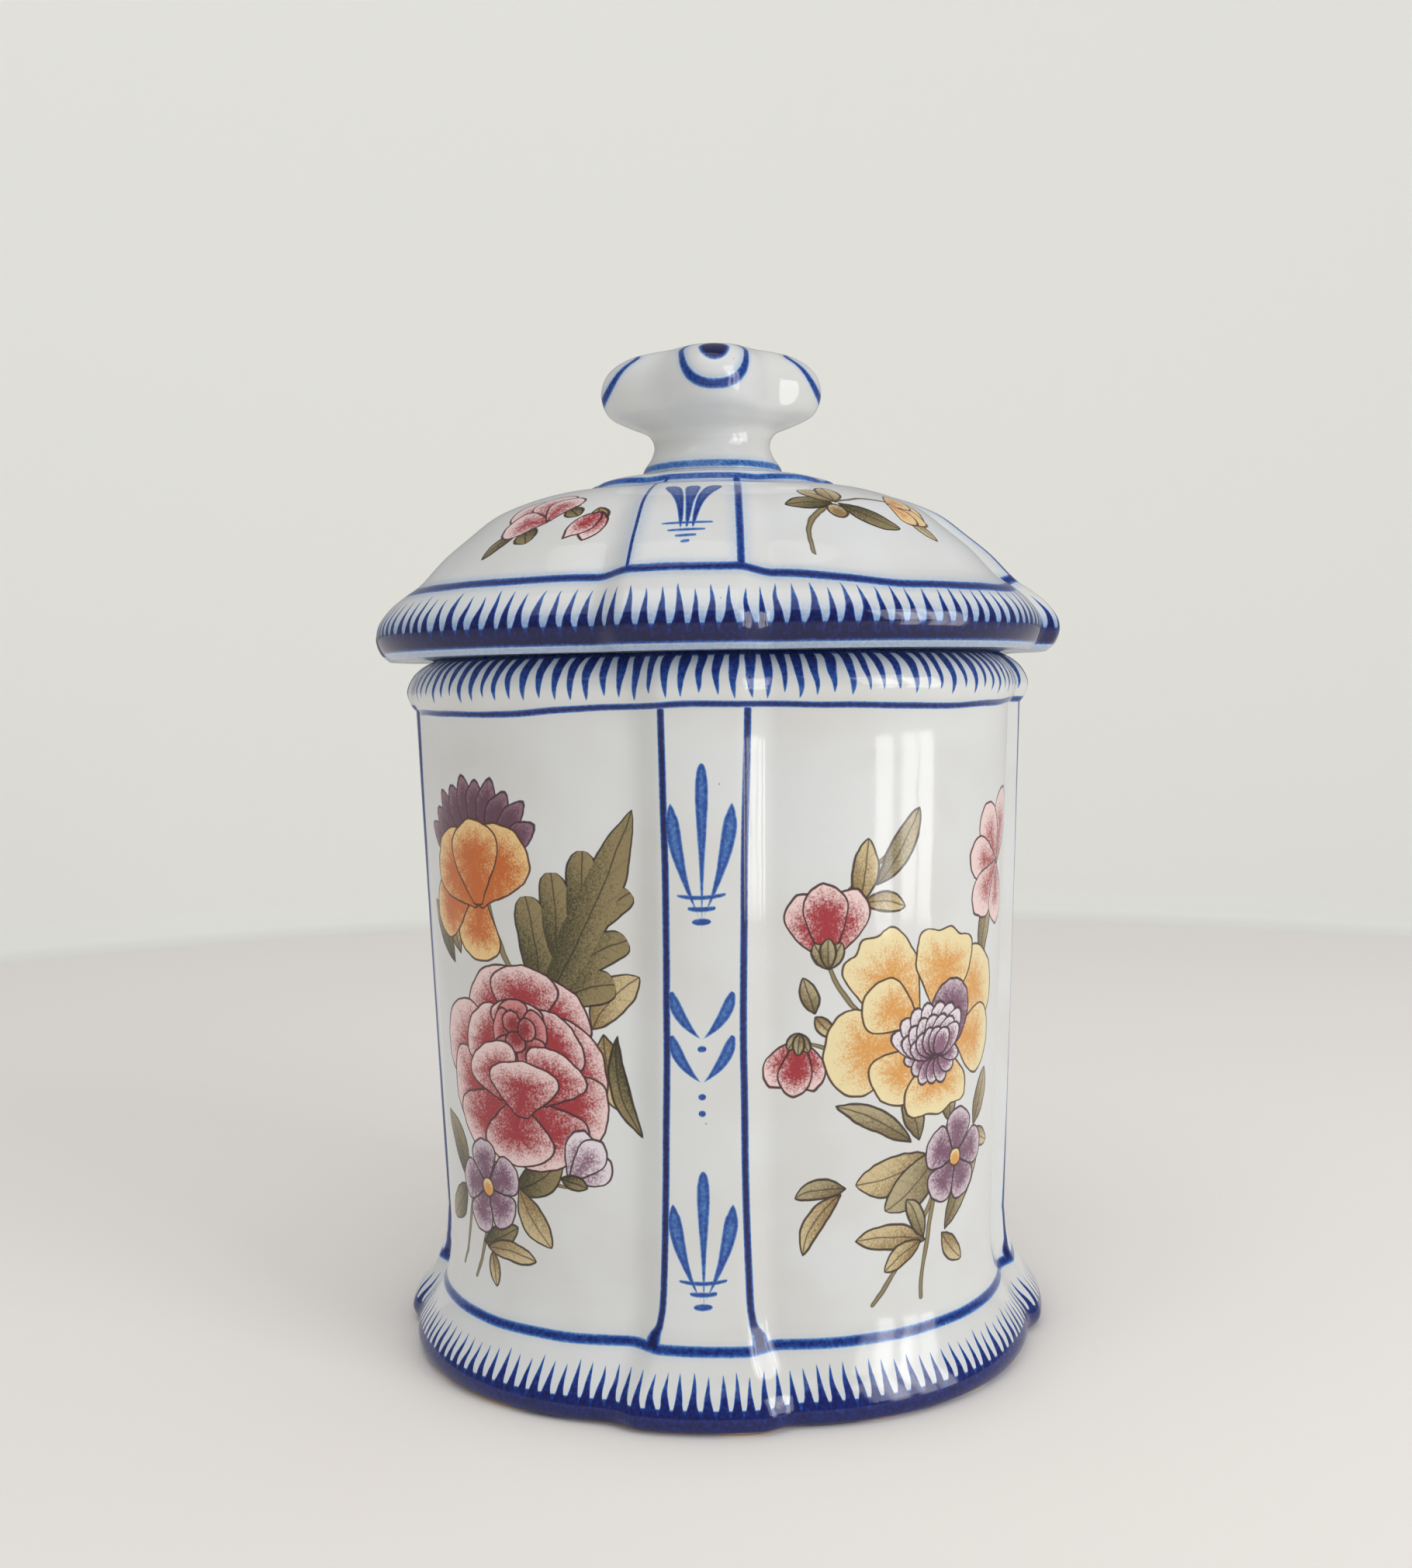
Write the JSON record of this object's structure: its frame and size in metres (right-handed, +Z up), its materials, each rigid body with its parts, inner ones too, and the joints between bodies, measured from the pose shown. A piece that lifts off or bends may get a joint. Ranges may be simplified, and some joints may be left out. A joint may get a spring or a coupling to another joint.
{
  "type": "earthenware box",
  "caption": "Lidded earthenware box on a lobed plan with a flared foot, beaded rim, domed lift-off lid and lobed knob; white glaze with blue borders and painted sprays.",
  "frame": {"origin": "centre of the foot ring on the table", "axes": "+Z up along the box's axis, ribs on the X and Y axes, panels between them"},
  "size_m": [0.1414, 0.1414, 0.2],
  "materials": {
    "box_glaze": "glossy white tin glaze, painted",
    "lid_glaze": "glossy white tin glaze, painted",
    "knob_glaze": "glossy white tin glaze, painted"
  },
  "bodies": {
    "jar": {"box": "box_glaze"},
    "cover": {"lid": "lid_glaze", "knob": "knob_glaze"}
  },
  "joints": [
    {"name": "lid_lift", "type": "slide", "parent": "jar", "child": "cover", "axis": [0, 0, 1], "range_m": [0, 0.12]}
  ]
}
